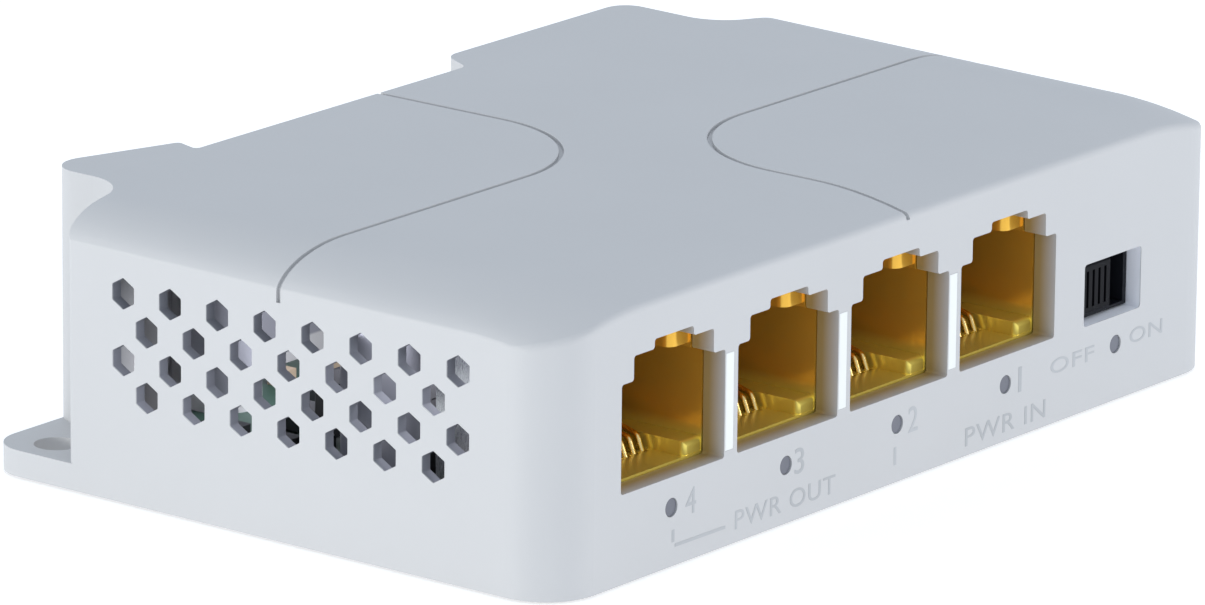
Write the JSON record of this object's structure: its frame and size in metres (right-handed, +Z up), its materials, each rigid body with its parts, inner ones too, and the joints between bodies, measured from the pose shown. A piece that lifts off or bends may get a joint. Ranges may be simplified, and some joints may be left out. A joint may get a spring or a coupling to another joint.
{
  "type": "poe extender",
  "caption": "Compact white moulded network box with a row of RJ45 sockets, indicator lamps and a small slide switch on one face, vented sides and two screw ears.",
  "frame": {"origin": "middle of the footprint, on the surface the case stands on", "axes": "+Z up, -Y out of the port face, +X towards the slide switch, parallel to the port face"},
  "size_m": [0.0844, 0.0558, 0.022],
  "materials": {
    "case_white": "fine-textured white moulding",
    "base_white": "fine-textured white moulding",
    "screw_steel": "zinc-plated steel",
    "strip_white": "bright glossy white",
    "lens_grey": "smoky translucent lens",
    "board_green": "green solder mask",
    "jack_amber": "glossy amber plastic with a gold tone",
    "shield_steel": "tin-plated sheet",
    "contact_gold": "gold-flashed spring wire",
    "black_plastic": "black moulding",
    "tinned": "tinned leads",
    "knob_black": "black moulded knob",
    "wiper_brass": "sprung brass",
    "lamp_white": "white lamp body",
    "package_black": "moulded chip package",
    "ferrite_grey": "ferrite and resin",
    "can_aluminium": "drawn aluminium can",
    "crystal_steel": "drawn steel can",
    "fuse_cream": "ceramic body",
    "ceramic_tan": "tan chip ceramic",
    "resistor_black": "black chip coating"
  },
  "bodies": {
    "case": {"upper_housing": "case_white", "base_plate": "base_white", "case_screws": "screw_steel", "divider_strips": "strip_white", "light_pipes": "lens_grey", "circuit_board": "board_green", "jack_housing": "jack_amber", "jack_shield": "shield_steel", "contact_blocks": "black_plastic", "slide_switch_body": "black_plastic", "slide_switch_frame": "shield_steel", "slide_switch_terminals": "tinned", "port_lamps": "lamp_white", "switch_lamp": "lamp_white", "magnetics_modules": "package_black", "magnetics_leads": "tinned", "switch_chip": "package_black", "switch_chip_leads": "tinned", "pd_controller_chip": "package_black", "pse_controller_chip": "package_black", "power_chip_leads": "tinned", "bridge_rectifiers": "package_black", "bridge_rectifier_leads": "tinned", "output_transistors": "package_black", "blocking_diodes": "package_black", "surge_suppressors": "package_black", "diode_straps": "tinned", "power_inductor": "ferrite_grey", "inductor_terminals": "tinned", "capacitor_cans": "can_aluminium", "capacitor_leads": "tinned", "crystal_can": "crystal_steel", "input_fuse": "fuse_cream", "chip_capacitors": "ceramic_tan", "chip_resistors": "resistor_black", "port_4_contacts": "contact_gold", "port_3_contacts": "contact_gold", "port_2_contacts": "contact_gold", "port_1_contacts": "contact_gold"},
    "switch_knob": {"slide_switch_knob": "knob_black", "slide_switch_wiper": "wiper_brass"}
  },
  "joints": [
    {"name": "power_switch", "type": "slide", "parent": "case", "child": "switch_knob", "axis": [1, 0, 0], "range_m": [0, 0.002]}
  ]
}
